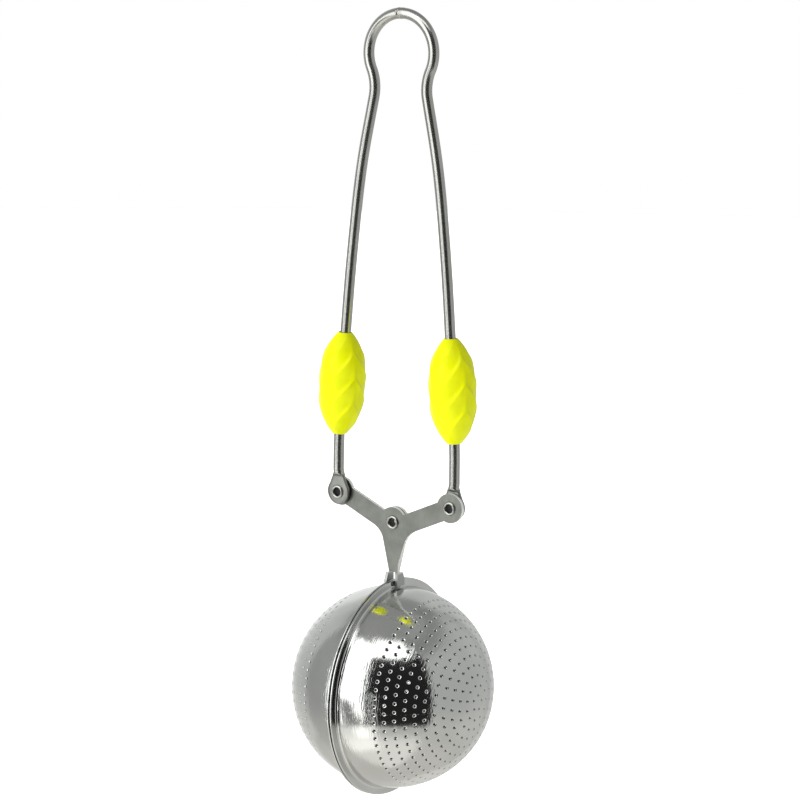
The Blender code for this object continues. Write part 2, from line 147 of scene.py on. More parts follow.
def outward(mesh):
    """The same mesh with every face turned outwards."""
    bm = bmesh.new()
    bm.from_mesh(mesh)
    bmesh.ops.recalc_face_normals(bm, faces=bm.faces)
    bm.to_mesh(mesh)
    bm.free()
    return mesh


def add(name, mesh, material, body, node, matrix=Matrix.Identity(4)):
    """One piece that stands for a CAD node and rides on its body; a mesh keeps materials it already has."""
    if not mesh.materials:
        mesh.materials.append(material)
    obj = bpy.data.objects.new(name, mesh)
    bpy.context.scene.collection.objects.link(obj)
    obj.matrix_world = matrix
    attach(obj, body)
    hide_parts(node)
    return obj


def grid_faces(rows, columns):
    """Quads of a tube of rows, each a closed ring of that many columns."""
    faces = []
    for i in range(rows - 1):
        for j in range(columns):
            k = (j + 1) % columns
            a = i * columns
            b = a + columns
            faces.append((a + j, a + k, b + k, b + j))
    return faces


def drilled(mesh, x, z, radius):
    """A mesh with a hole along Y through (x, z)."""
    blank = bpy.data.objects.new("blank", mesh)
    bm = bmesh.new()
    place = Matrix.Translation((x, 0, z)) @ Matrix.Rotation(math.pi / 2, 4, "X")
    bmesh.ops.create_cone(bm, cap_ends=True, segments=ROUND_SIDES, radius1=radius, radius2=radius,
                          depth=DRILL_LENGTH, matrix=place)
    drill_mesh = bpy.data.meshes.new("drill")
    bm.to_mesh(drill_mesh)
    bm.free()
    drill = bpy.data.objects.new("drill", drill_mesh)
    for obj in (blank, drill):
        bpy.context.scene.collection.objects.link(obj)
    cut = blank.modifiers.new("cut", "BOOLEAN")
    cut.operation = "DIFFERENCE"
    cut.solver = "EXACT"
    cut.object = drill
    evaluated = blank.evaluated_get(bpy.context.evaluated_depsgraph_get())
    result = bpy.data.meshes.new_from_object(evaluated)
    for obj in (blank, drill):
        bpy.data.objects.remove(obj, do_unlink=True)
    result.shade_smooth()
    result.set_sharp_from_angle(angle=math.radians(40))
    return result


# --- materials --------------------------------------------------------------------------------
class Nodes:
    """A small wrapper for building one node tree."""

    def __init__(self, tree):
        self.tree = tree

    def add(self, kind, **values):
        node = self.tree.nodes.new(kind)
        for key, value in values.items():
            setattr(node, key, value)
        return node

    def link(self, source, target):
        self.tree.links.new(source, target)

    def math(self, operation, a, b=0.0):
        node = self.add("ShaderNodeMath", operation=operation)
        for socket, value in zip(node.inputs, (a, b)):
            if isinstance(value, (int, float)):
                socket.default_value = value
            else:
                self.link(value, socket)
        return node.outputs[0]

    def remap(self, value, low, high, to_low=0.0, to_high=1.0):
        """A smooth step from to_low to to_high as the value goes from low to high."""
        node = self.add("ShaderNodeMapRange", interpolation_type="SMOOTHSTEP")
        self.link(value, node.inputs["Value"])
        ends = {"From Min": low, "From Max": high, "To Min": to_low, "To Max": to_high}
        for name, number in ends.items():
            node.inputs[name].default_value = number
        return node.outputs[0]

    def blend(self, factor, a, b):
        """A colour between a and b; each is a colour or another node's output."""
        node = self.add("ShaderNodeMix", data_type="RGBA")
        self.link(factor, node.inputs["Factor"])
        for name, colour in (("A", a), ("B", b)):
            if isinstance(colour, tuple):
                node.inputs[name].default_value = (*colour, 1)
            else:
                self.link(colour, node.inputs[name])
        return node.outputs["Result"]

    def drift(self, value, low=0.0, high=1.0):
        """A noise's middle part, where most of it lies, stretched to run from low to high."""
        return self.remap(value, 0.3, 0.7, low, high)

    def bump(self, height, strength, distance, shader):
        relief = self.add("ShaderNodeBump")
        relief.inputs["Strength"].default_value = strength
        relief.inputs["Distance"].default_value = distance
        self.link(height, relief.inputs["Height"])
        self.link(relief.outputs[0], shader.inputs["Normal"])

    def noise(self, scale, detail=3.0, stretch=(1, 1, 1), roughness=0.5):
        coordinates = self.add("ShaderNodeTexCoord").outputs["Object"]
        mapping = self.add("ShaderNodeMapping")
        mapping.inputs["Scale"].default_value = stretch
        self.link(coordinates, mapping.inputs["Vector"])
        texture = self.add("ShaderNodeTexNoise")
        texture.inputs["Scale"].default_value = scale
        texture.inputs["Detail"].default_value = detail
        texture.inputs["Roughness"].default_value = roughness
        self.link(mapping.outputs[0], texture.inputs["Vector"])
        return texture.outputs["Fac"]


def new_material(name):
    """A new material, its nodes and its shader."""
    material = bpy.data.materials.new(name)
    material.use_nodes = True
    return material, Nodes(material.node_tree), material.node_tree.nodes["Principled BSDF"]


def steel(name, dark, light, smooth, rough, smudge_scale, grain_scale, bump,
          grain_stretch=(1, 1, 1), film=0.0):
    """Steel whose colour and roughness drift over smudges, with a fine grain and perhaps a dull film."""
    material, nodes, shader = new_material(name)
    shader.inputs["Metallic"].default_value = 1.0 - film
    smudge = nodes.noise(smudge_scale, 4.0)
    grain = nodes.noise(grain_scale, 2.0, grain_stretch, 0.6)
    nodes.link(nodes.blend(nodes.drift(smudge), dark, light), shader.inputs["Base Color"])
    both = nodes.math("ADD", nodes.math("MULTIPLY", smudge, 0.6), nodes.math("MULTIPLY", grain, 0.4))
    nodes.link(nodes.drift(both, smooth, rough), shader.inputs["Roughness"])
    nodes.bump(grain, bump, 0.02 * MM, shader)
    return material


def grip_material():
    """Fluorescent moulded plastic with a faint painted glow: an emission that stands in for the dye's
    fluorescence and shines whether lit or not.
    """
    material, nodes, shader = new_material("grip_plastic")
    mottle = nodes.drift(nodes.noise(260, 3.0))
    nodes.link(nodes.blend(mottle, (0.615, 0.65, 0.002), (0.675, 0.71, 0.003)), shader.inputs["Base Color"])
    nodes.link(nodes.drift(nodes.noise(900, 2.0), 0.27, 0.36), shader.inputs["Roughness"])
    # painted glow: a faint emission standing in for the fluorescent dye's extra brightness
    shader.inputs["Emission Color"].default_value = (0.90, 0.95, 0.01, 1)
    shader.inputs["Emission Strength"].default_value = 0.02
    shader.inputs["Specular IOR Level"].default_value = 0.11
    nodes.bump(nodes.noise(2600, 2.0), 0.15, 0.03 * MM, shader)
    return material


def shell_material():
    """Mirror-polished bowl: fine hairs of the polishing run round its axis, and smudges dull it."""
    hairs_per_metre = 3300.0
    hairs_per_radian = 9.0
    material, nodes, shader = new_material("shell_steel")
    shader.inputs["Metallic"].default_value = 1.0
    place = nodes.add("ShaderNodeSeparateXYZ")
    nodes.link(nodes.add("ShaderNodeTexCoord").outputs["Object"], place.inputs[0])
    x, y, z = place.outputs
    turn = nodes.math("ARCTAN2", nodes.math("SUBTRACT", z, BALL_Z), y)
    lines = nodes.add("ShaderNodeCombineXYZ")
    nodes.link(nodes.math("MULTIPLY", x, hairs_per_metre), lines.inputs["X"])
    nodes.link(nodes.math("MULTIPLY", turn, hairs_per_radian), lines.inputs["Y"])
    hairs = nodes.add("ShaderNodeTexNoise")
    hairs.inputs["Scale"].default_value = 1.0
    hairs.inputs["Detail"].default_value = 2.0
    nodes.link(lines.outputs[0], hairs.inputs["Vector"])
    smudge = nodes.noise(75, 4.0)
    colour = nodes.blend(nodes.drift(smudge), (0.62, 0.625, 0.61), (0.70, 0.70, 0.69))
    nodes.link(colour, shader.inputs["Base Color"])
    nodes.link(nodes.drift(smudge, 0.085, 0.14), shader.inputs["Roughness"])
    nodes.bump(hairs.outputs["Fac"], 1.0, 0.03 * MM, shader)
    return material


def lever_material():
    """Satin rolled sheet with a lighter painted reflection on the bent foot, and pale shear-cut edges above
    it, partly duller metal and partly a painted highlight.
    """
    material, nodes, shader = new_material("lever_steel")
    coordinates = nodes.add("ShaderNodeTexCoord")
    facing = nodes.add("ShaderNodeSeparateXYZ")
    nodes.link(coordinates.outputs["Normal"], facing.inputs[0])
    place = nodes.add("ShaderNodeSeparateXYZ")
    nodes.link(coordinates.outputs["Object"], place.inputs[0])
    # side faces and rounded edges: partly the duller sheared metal, partly a painted highlight
    sheared_and_highlit = nodes.remap(nodes.math("ABSOLUTE", facing.outputs["Y"]), 0.75, 0.95, 1.0, 0.0)
    above_foot = nodes.remap(place.outputs["Z"], *FOOT_TOP_Z)
    edge = nodes.math("MULTIPLY", sheared_and_highlit, above_foot)
    nodes.link(nodes.math("SUBTRACT", 1.0, nodes.math("MULTIPLY", edge, 0.5)), shader.inputs["Metallic"])
    grain = nodes.noise(2200, 3.0, (1, 1, 0.25), 0.6)
    cloud = nodes.drift(nodes.noise(170, 4.0))
    face = nodes.blend(cloud, (0.20, 0.205, 0.19), (0.265, 0.27, 0.25))
    # painted reflection: below the bend the foot is painted a lighter grey than the faces above
    body = nodes.blend(above_foot, (0.50, 0.505, 0.49), face)
    # pale edge colour: partly duller sheared metal, partly a painted highlight along the edges
    nodes.link(nodes.blend(edge, body, (0.86, 0.86, 0.84)), shader.inputs["Base Color"])
    dull = nodes.drift(grain, 0.40, 0.52)
    nodes.link(nodes.math("SUBTRACT", dull, nodes.math("MULTIPLY", edge, 0.2)), shader.inputs["Roughness"])
    nodes.bump(grain, 0.15, 0.02 * MM, shader)
    return material


shell_steel = shell_material()
wire_steel = steel("wire_steel", (0.44, 0.44, 0.42), (0.51, 0.51, 0.49), smooth=0.18, rough=0.24,
                   smudge_scale=90, grain_scale=1500, bump=0.02, grain_stretch=(1, 1, 0.05), film=0.04)
eye_steel = steel("eye_steel", (0.24, 0.245, 0.23), (0.33, 0.335, 0.315), smooth=0.32, rough=0.45,
                  smudge_scale=220, grain_scale=1800, bump=0.2)
rivet_steel = steel("rivet_steel", (0.40, 0.40, 0.38), (0.50, 0.50, 0.48), smooth=0.16, rough=0.30,
                    smudge_scale=300, grain_scale=1500, bump=0.1)
# painted shade: the bore's lining is near black to stand in for the shade inside the hole
bore_painted_shade = steel("bore_painted_shade", (0.05, 0.05, 0.05), (0.09, 0.09, 0.085), smooth=0.40, rough=0.55,
                   smudge_scale=300, grain_scale=1500, bump=0.1)
weld_steel = steel("weld_steel", (0.40, 0.39, 0.37), (0.54, 0.53, 0.50), smooth=0.24, rough=0.38,
                   smudge_scale=700, grain_scale=2500, bump=0.3)
lever_steel = lever_material()
grip_plastic = grip_material()


# --- half balls -----------------------------------------------------------------------------
def hole_centres():
    """Polar angle from the pole and angle round +X of every hole in the right half."""
    centres = []
    for ring in range(HOLE_RINGS):
        count = INNER_RING_HOLES + HOLES_MORE_PER_RING * ring
        start = RING_START + ring * RING_TWIST
        centres += [(FIRST_RING + ring * RING_STEP, start + math.tau * i / count) for i in range(count)]
    return centres


def direction(theta, phi):
    """Unit vector at a polar angle from +X and an angle round it, from the front towards the top."""
    return Vector((math.cos(theta), -math.sin(theta) * math.cos(phi), math.sin(theta) * math.sin(phi)))


def perforated_cap():
    """Directions, depths and tilted normals of its points, its faces, each hole's edge and the outer rim.

    The points are laid out flat by their angle from the pole and joined into triangles there.
    """
    flat, towards, depths, normals, owner, edges = [], [], [], [], [], []
    for number, (theta, phi) in enumerate(hole_centres()):
        centre = direction(theta, phi)
        along = direction(theta + math.pi / 2, phi)
        across = centre.cross(along)
        edge = []
        for level, (radius, depth, degrees) in enumerate(DIMPLE):
            tilt = math.radians(degrees)
            for i in range(HOLE_SIDES):
                angle = math.tau * i / HOLE_SIDES
                inward = -(along * math.cos(angle) + across * math.sin(angle))
                point = (centre * BOWL_RADIUS - inward * radius).normalized()
                polar = math.acos(point.x)
                turn = math.atan2(point.z, -point.y)
                if level == 0:
                    edge.append(len(flat))
                owner.append(number if level == 0 else -1)
                flat.append((polar * math.cos(turn), polar * math.sin(turn)))
                towards.append(point)
                depths.append(depth)
                normals.append((point * math.cos(tilt) + inward * math.sin(tilt)).normalized())
        edges.append(edge)
    rim = []
    for i in range(BAND_SIDES):
        angle = math.tau * i / BAND_SIDES
        rim.append(len(flat))
        flat.append((PERFORATION_EDGE * math.cos(angle), PERFORATION_EDGE * math.sin(angle)))
        towards.append(direction(PERFORATION_EDGE, angle))
        depths.append(0.0)
        normals.append(towards[-1])
        owner.append(-1)
    same_point = 1e-9
    triangles = delaunay_2d_cdt([Vector(p) for p in flat], [], [], 0, same_point)[2]
    # a triangle between three points of one hole's edge lies in the hole
    faces = [(a, b, c) for a, b, c in triangles
             if owner[a] < 0 or not owner[a] == owner[b] == owner[c]]
    return towards, depths, normals, faces, edges, rim


def band_profile():
    """From the perforation's edge over the flange and back inside: radius, x, and the normal along both."""
    inner_radius = BOWL_RADIUS - BOWL_WALL
    seat = FLANGE_OUTER_X + FLANGE_FILLET
    mouth_fillet = FLANGE_FILLET + BOWL_WALL
    mouth = FLANGE_INNER_X + mouth_fillet
    outer_end = math.acos(seat / BOWL_RADIUS)
    inner_end = math.acos(mouth / inner_radius)
    profile = []

    def sphere(radius, start, end, steps, sign):
        for i in range(steps + 1):
            t = start + (end - start) * i / steps
            profile.append((radius * math.sin(t), radius * math.cos(t),
                            sign * math.sin(t), sign * math.cos(t)))

    def bend(centre, radius, start, end, steps, sign):
        for i in range(steps + 1):
            a = start + (end - start) * i / steps
            profile.append((centre[0] + radius * math.cos(a), centre[1] + radius * math.sin(a),
                            sign * math.cos(a), sign * math.sin(a)))

    sphere(BOWL_RADIUS, PERFORATION_EDGE, outer_end, BAND_STEPS, 1)
    fillet_r = profile[-1][0] + FLANGE_FILLET
    bend((fillet_r, seat), FLANGE_FILLET, math.pi, 1.5 * math.pi, FILLET_STEPS, -1)
    edge_r = FLANGE_RADIUS - FLANGE_EDGE
    bend((edge_r, FLANGE_OUTER_X - FLANGE_EDGE), FLANGE_EDGE, math.pi / 2, 0.0, RIM_STEPS, 1)
    bend((edge_r, FLANGE_INNER_X + FLANGE_EDGE), FLANGE_EDGE, 0.0, -math.pi / 2, RIM_STEPS, 1)
    fillet_r = inner_radius * math.sin(inner_end) + mouth_fillet
    bend((fillet_r, mouth), mouth_fillet, 1.5 * math.pi, math.pi, FILLET_STEPS, 1)
    sphere(inner_radius, inner_end, PERFORATION_EDGE, BAND_STEPS, -1)
    return profile


def shell_mesh():
    """Right half ball: perforated cap, plain band and flange, outside and inside."""
    towards, depths, tilted, cap, edges, rim = perforated_cap()
    centre = Vector((0, 0, BALL_Z))
    vertices = [centre + d * (BOWL_RADIUS - depth) for d, depth in zip(towards, depths)]
    normals = list(tilted)
    inner = len(vertices)
    vertices += [centre + d * (BOWL_RADIUS - BOWL_WALL - depth) for d, depth in zip(towards, depths)]
    normals += [-d for d in towards]
    faces = []
    for a, b, c in cap:
        normal = (vertices[b] - vertices[a]).cross(vertices[c] - vertices[a])
        if normal.dot(towards[a]) <= 0:
            b, c = c, b
        faces.append((a, b, c))
        faces.append((inner + a, inner + c, inner + b))
    for edge in edges:
        for i, a in enumerate(edge):
            b = edge[(i + 1) % HOLE_SIDES]
            faces.append((a, b, inner + b, inner + a))
    previous = rim
    for radius, x, normal_r, normal_x in band_profile()[1:-1]:
        ring = []
        for i in range(BAND_SIDES):
            angle = math.tau * i / BAND_SIDES
            out = Vector((0, -math.cos(angle), math.sin(angle)))
            ring.append(len(vertices))
            vertices.append(Vector((x, 0, BALL_Z)) + out * radius)
            normals.append((out * normal_r + Vector((normal_x, 0, 0))).normalized())
        faces += [(previous[i], previous[(i + 1) % BAND_SIDES], ring[(i + 1) % BAND_SIDES], ring[i])
                  for i in range(BAND_SIDES)]
        previous = ring
    last = [inner + i for i in rim]
    faces += [(previous[i], previous[(i + 1) % BAND_SIDES], last[(i + 1) % BAND_SIDES], last[i])
              for i in range(BAND_SIDES)]
    mesh = outward(new_mesh("perforated_half", vertices, faces))
    mesh.normals_split_custom_set_from_vertices([tuple(n) for n in normals])
    return mesh


# --- wire handle ------------------------------------------------------------------------------
def spline_run(points, start_tangent, steps):
    """A smooth run through the points; its slope at the first one is given."""
    points = [Vector(p) for p in points]
    first = points[1] - Vector(start_tangent) * (points[2] - points[0]).length
    knots = [first, *points, points[-1] * 2 - points[-2]]
    run = []
    for i in range(1, len(knots) - 2):
        a, b, c, d = knots[i - 1:i + 3]
        for step in range(steps):
            t = step / steps
            run.append(0.5 * (2 * b + (c - a) * t + (2 * a - 5 * b + 4 * c - d) * t ** 2
                              + (3 * b - a - 3 * c + d) * t ** 3))
    return run + [points[-1]]


def handle_path():
    """Centre line of the right-hand half, as (x, z) from the weld down, and the leg's top height."""
    loop_centre = (0.0, WIRE_RADIUS - LOOP_RADIUS)
    top = math.acos(WIRE_END_X / LOOP_RADIUS)
    loop = arc(loop_centre, LOOP_RADIUS, top, -LOOP_WRAP, LOOP_STEPS)
    reach = LOOP_RADIUS + NECK_RADIUS
    neck_centre = (reach * math.cos(LOOP_WRAP), loop_centre[1] - reach * math.sin(LOOP_WRAP))
    neck = arc(neck_centre, NECK_RADIUS, math.pi - LOOP_WRAP, math.pi + LEG_LEAN, NECK_STEPS)
    lean = (math.sin(LEG_LEAN), -math.cos(LEG_LEAN))
    points = [(x * MM, z * MM) for x, z in LEG_POINTS]
    leg = spline_run([neck[-1], *points], lean, LEG_STEPS)
    return loop + neck[1:] + leg[1:], neck[-1][1]


def layer_shift(z, leg_top):
    """How far the leg has moved from Y = 0 to the layer of its eye, at a height."""
    return EYE_MIDDLE * min(max((leg_top - z) / (leg_top - RIVET_Z), 0.0), 1.0)


def eye_size(height):
    """Half width and half thickness of the flattened end at a height above the rivet."""
    half = EYE_THICKNESS / 2
    if height < EYE_JOIN:
        return math.sqrt(EYE_RADIUS ** 2 - height ** 2), half
    t = (EYE_NECK - height) / (EYE_NECK - EYE_JOIN)
    press = min(t / EYE_SHOULDER, 1.0)
    eye_width = math.sqrt(EYE_RADIUS ** 2 - EYE_JOIN ** 2)
    return (WIRE_RADIUS + (eye_width - WIRE_RADIUS) * t,
            WIRE_RADIUS + (half - WIRE_RADIUS) * press * press * (3 - 2 * press))


def section_ring(centre, across, width, thickness):
    """A round or flattened section: across is its wide direction, Y its thin one."""
    flatness = 1 - min(thickness / width, 1.0)
    power = 1 / (1 + EYE_SQUARENESS * flatness)
    ring = []
    for i in range(WIRE_SIDES):
        angle = math.tau * (i + 0.5) / WIRE_SIDES
        c, s = math.cos(angle), math.sin(angle)
        wide = width * math.copysign(abs(c) ** power, c)
        thin = thickness * math.copysign(abs(s) ** power, s)
        ring.append(centre + across * wide + Vector((0, thin, 0)))
    return ring


def capped_tube(name, vertices, rows, sides):
    """A closed mesh from the points of its rings, one ring after another."""
    faces = grid_faces(rows, sides)
    faces.append(tuple(range(sides)))
    faces.append(tuple(range((rows - 1) * sides, rows * sides)))
    return outward(new_mesh(name, vertices, faces))


def wire_mesh():
    """Right-hand half of the wire, from the weld to its drilled eye."""
    path, leg_top = handle_path()
    points = []
    for i, (x, z) in enumerate(path):
        before, after = path[max(i - 1, 0)], path[min(i + 1, len(path) - 1)]
        along = Vector((after[0] - before[0], 0, after[1] - before[1])).normalized()
        across = Vector((-along.z, 0, along.x))
        points += section_ring(Vector((x, layer_shift(z, leg_top), z)), across, WIRE_RADIUS, WIRE_RADIUS)
    taper = EYE_NECK - EYE_JOIN
    heights = [EYE_NECK - taper * i / NECK_TO_EYE_STEPS for i in range(NECK_TO_EYE_STEPS + 1)]
    heights += [EYE_RADIUS * math.cos(math.radians(a)) for a in EYE_ANGLES]
    for height in heights:
        width, thickness = eye_size(height)
        centre = Vector((RIVET_X, EYE_MIDDLE, RIVET_Z + height))
        points += section_ring(centre, Vector((1, 0, 0)), width, thickness)
    blank = capped_tube("wire", points, len(path) + len(heights), WIRE_SIDES)
    mesh = drilled(blank, RIVET_X, RIVET_Z, EYE_HOLE_RADIUS)
    mesh.materials.clear()
    mesh.materials.append(wire_steel)
    mesh.materials.append(eye_steel)
    for face in mesh.polygons:
        face.material_index = 1 if face.center.z < RIVET_Z + EYE_FINISH_TOP else 0
    return mesh


# --- weld --------------------------------------------------------------------------------------
# Places, slants and widths along the weld are in half lengths, depths and heights in millimetres.
WELD_HALF_LENGTH = 1.0 * MM
WELD_PROUD = 0.02
CREASE_PLACE = -0.5
CREASE_SLANT = -0.42                # how much further along the crease lies at the top of the wire
FORK_SLANT = 0.30
CREASE_CUT = (0.11, 0.11)           # depth and width
FORK_CUT = (0.08, 0.09)
BURR = (0.05, 0.12)                 # height and width of the ridge beside the crease
BURR_GAP = 0.22
LUMP_HEIGHT = 0.012


def groove(offset, size, width):
    """A bell-shaped cut or ridge at an offset from its line."""
    return size * math.exp(-(offset / width) ** 2)


def weld_mesh():
    """Dressed butt weld at the top of the loop: nearly flush, with a forked crease near one end."""
    vertices = []
    for i in range(WELD_ROWS):
        t = -1 + 2 * i / (WELD_ROWS - 1)
        x = WELD_HALF_LENGTH * t
        centre = math.sqrt(LOOP_RADIUS ** 2 - x ** 2) + WIRE_RADIUS - LOOP_RADIUS
        for j in range(ROUND_SIDES):
            angle = math.tau * j / ROUND_SIDES
            top = math.sin(angle)
            crease = t - CREASE_PLACE - CREASE_SLANT * top
            fork = t - CREASE_PLACE - FORK_SLANT * max(top, 0.0)
            cut = groove(crease, *CREASE_CUT) + groove(fork, *FORK_CUT)
            lump = LUMP_HEIGHT * math.sin(3 * angle + 1.1) * math.cos(2.2 * t)
            relief = WELD_PROUD + groove(crease - BURR_GAP, *BURR) + lump - cut
            radius = WIRE_RADIUS + relief * (1 - t ** 6) * MM
            vertices.append(Vector((x, radius * math.cos(angle), centre + radius * top)))
    mesh = capped_tube("weld", vertices, WELD_ROWS, ROUND_SIDES)
    mesh.set_sharp_from_angle(angle=math.radians(60))
    return mesh


# --- grips --------------------------------------------------------------------------------------
SPINE_TURN = math.radians(63.5)     # the relief's upright line, round the leg from the front
SPINE_RISE = 0.15                   # how much the barrel swells towards its spines, as a part of the radius
SPINE_LEVEL = 0.87                  # where the swell begins: the sine of the angle from a spine
SPINE_HALF_WIDTH = 0.12             # the scales fade into it over this part of a quarter turn
SCALE_PITCH = 5.85 * MM
SCALE_FALL = 10.0 * MM              # how far a ridge drops over the quarter turn from the spine
SCALE_HEIGHT = 0.46 * MM
SCALE_LEVEL = 0.4                   # the part of that height that lies under the plain barrel
SCALE_HOLLOW = 1.7                  # exponent of a scale's hollow
SCALE_START = 0.69                  # where the ridges lie along the grip, in pitches
SCALE_CLIMB = 0.16                  # the share of a pitch that climbs from one scale to the next ridge
RELIEF_FADE = 2.5                   # exponent of its fading towards both ends


def scale_facet(phase):
    """Height of the scales, from 0 to 1: down in a hollow below each ridge, then steeply up to the next."""
    below = 1 - (phase - math.floor(phase))
    if below < 1 - SCALE_CLIMB:
        return (1 - below / (1 - SCALE_CLIMB)) ** SCALE_HOLLOW
    return (below - 1 + SCALE_CLIMB) / SCALE_CLIMB


def grip_frame(grip_z):
    """Turns and moves an upright sleeve at the origin to its place on the right-hand leg."""
    path, leg_top = handle_path()
    nearest = min(path, key=lambda p: abs(p[1] - grip_z))
    k = path.index(nearest)
    slope = math.atan2(path[k - 1][0] - path[k + 1][0], path[k - 1][1] - path[k + 1][1])
    x = nearest[0] - (nearest[1] - grip_z) * math.tan(slope)
    return Matrix.Translation((x, layer_shift(grip_z, leg_top), grip_z)) @ Matrix.Rotation(slope, 4, "Y")


def grip_mesh(grip_z):
    """Barrel with an ear-of-wheat relief: slanting ridges each side of two upright spines."""
    half = GRIP_LENGTH / 2
    angles = [math.tau * j / GRIP_SIDES for j in range(GRIP_SIDES)]
    vertices = []
    for i in range(GRIP_ROWS + 1):
        t = -math.cos(math.pi * i / GRIP_ROWS)
        body = GRIP_END_RADIUS + (GRIP_RADIUS - GRIP_END_RADIUS) * (1 - abs(t) ** GRIP_FULLNESS)
        z = -half * t
        fade = 1 - abs(t) ** RELIEF_FADE
        for angle in angles:
            # 0 on a spine, 1 half way to the other one
            away = math.acos(abs(math.cos(angle - SPINE_TURN))) / (math.pi / 2)
            facet = scale_facet((z + SCALE_FALL * away) / SCALE_PITCH + SCALE_START)
            near = (1 - away ** 2) * min(away / SPINE_HALF_WIDTH, 1.0)
            spine = SPINE_RISE * (SPINE_LEVEL - abs(math.sin(angle - SPINE_TURN)))
            scales = near * SCALE_HEIGHT * (facet - SCALE_LEVEL)
            radius = body * (1 + spine * fade) + scales * fade
            vertices.append(Vector((radius * math.sin(angle), -radius * math.cos(angle), z)))
    bore = len(vertices)
    for z in (-half, half):
        for angle in angles:
            around = Vector((math.sin(angle), -math.cos(angle), 0))
            vertices.append(around * GRIP_BORE_RADIUS + Vector((0, 0, z)))
    # the outer rows run from the top end down, and the two bore rings from the bottom up
    faces = grid_faces(GRIP_ROWS + 1, GRIP_SIDES)
    last = GRIP_ROWS * GRIP_SIDES
    bore_top = bore + GRIP_SIDES
    for j in range(GRIP_SIDES):
        k = (j + 1) % GRIP_SIDES
        faces.append((last + j, last + k, bore + k, bore + j))
        faces.append((bore + j, bore + k, bore_top + k, bore_top + j))
        faces.append((bore_top + j, bore_top + k, k, j))
    frame_on_leg = grip_frame(grip_z)
    mesh = outward(new_mesh("grip", [frame_on_leg @ v for v in vertices], faces))
    mesh.set_sharp_from_angle(angle=math.radians(55))
    return mesh


# --- rivets ---------------------------------------------------------------------------------------
def rivet_mesh(name, x, z, front_stack, back_stack):
    """Tubular rivet along Y with a rim rolled over each side."""

    def rolled(stack):
        under = stack + RIVET_RIM_GAP
        roll = (RIVET_RIM_RADIUS - RIVET_BORE_RADIUS) / 2
        crown = arc((RIVET_BORE_RADIUS + roll, under), roll, math.pi, 0.0, ROLL_STEPS)
        flattened = [(r, under + (h - under) * RIVET_RIM_FLATNESS) for r, h in crown]
        return flattened + [(RIVET_SHANK_RADIUS, under)]

    outline = rolled(front_stack) + [(r, -h) for r, h in reversed(rolled(back_stack))]
    vertices = []
    for radius, height in outline:
        for j in range(ROUND_SIDES):
            angle = math.tau * j / ROUND_SIDES
            vertices.append(Vector((x + radius * math.cos(angle), -height, z + radius * math.sin(angle))))
    faces = grid_faces(len(outline), ROUND_SIDES)
    last = (len(outline) - 1) * ROUND_SIDES
    for j in range(ROUND_SIDES):
        k = (j + 1) % ROUND_SIDES
        faces.append((last + j, last + k, k, j))
    mesh = outward(new_mesh(name, vertices, faces))
    mesh.set_sharp_from_angle(angle=math.radians(50))
    mesh.materials.append(rivet_steel)
    mesh.materials.append(bore_painted_shade)
    # the faces made last line the bore, which gets the painted shade
    for face in mesh.polygons[-ROUND_SIDES:]:
        face.material_index = 1
    return mesh


# --- assembly ---------------------------------------------------------------------------------------
shell = shell_mesh()
wire = wire_mesh()
outer_rivet = rivet_mesh("outer_rivet", RIVET_X, RIVET_Z, PLATE_OUTER, EYE_OUTER)
for side, place in (("right", Matrix.Identity(4)), ("left", HALF_TURN)):
    lever_body = f"{side}_lever"
    handle_body = f"{side}_handle"
    add(f"{side}_half_ball", shell, shell_steel, lever_body, f"{side}_shell", place)
    add(f"{side}_wire", wire, wire_steel, handle_body, f"handle_wire_{side}", place)
    add(f"{side}_grip_sleeve", grip_mesh(GRIP_Z[side]), grip_plastic, handle_body, f"{side}_grip",
        place)
    add(f"{side}_rivet_tube", outer_rivet, rivet_steel, lever_body, f"{side}_rivet", place)
    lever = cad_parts[f"{side}_lever"]
    lever.material_slots[0].material = lever_steel
    weld_points = lever.modifiers.new("joined", "WELD")
    weld_points.merge_threshold = 0.002 * MM
    bevel = lever.modifiers.new("edges", "BEVEL")
    bevel.width = LEVER_EDGE_RADIUS
    bevel.segments = 3
    bevel.limit_method = "ANGLE"
    bevel.angle_limit = math.radians(40)
    bevel.harden_normals = True
centre_rivet = rivet_mesh("centre_rivet", 0.0, CENTRE_Z, PLATE_OUTER, PLATE_OUTER)
add("centre_rivet_tube", centre_rivet, rivet_steel, "centre_pivot", "centre_rivet")
add("weld_bead", weld_mesh(), weld_steel, "left_handle", "handle_weld")


# --- studio ---------------------------------------------------------------------------------------
# The surround's panels, by direction in degrees: left and right azimuth, bottom and top elevation,
# softness of the edges. Azimuth 0 is the front, -Y, and grows towards +X.
WALLS = (                           # each with the brightness that it adds to the plain surround
    ((-83, -44, -50, 60, 3), -0.09),        # dim corner left of the front
    ((-150, -81, -36, 44, 1.5), 0.15),      # pale left wall, in three overlapping parts
    ((-150, -106, -36, 44, 6), 0.07),
    ((-150, -122, -28, 30, 6), 0.28),
    ((-190, -150, -60, 44, 3), 0.13),       # left half of the back
    ((-40, 75, -95, -44, 8), 0.26),         # table under the front
    ((-38, 12, -60, -32, 4), 0.45),         # and its lit edge
    ((-14, 6, -44, -31, 3), 0.60),
    ((60, 190, 43, 62, 5), -0.10),          # shade over the right wall
    ((78, 170, -40, 75, 8), 0.07),          # right wall
)
SOFTBOX = (-42, 1.5, -30, 57, 2)
TOP_LIGHT = (-8, 58, 46, 66, 3.5)
LIGHT_STRENGTH = 1.9
CARD = (0.5, 79, -30.5, 45, 2)              # dark card round the camera
CARD_DARKNESS = 0.96
SLIT = (9, 13, -34, 6, 1)                   # slit of light in the card
SLIT_STRENGTH = 0.9
STREAK_TURN = (47, 72, 2)                   # slanting streak above the card: ends and softness
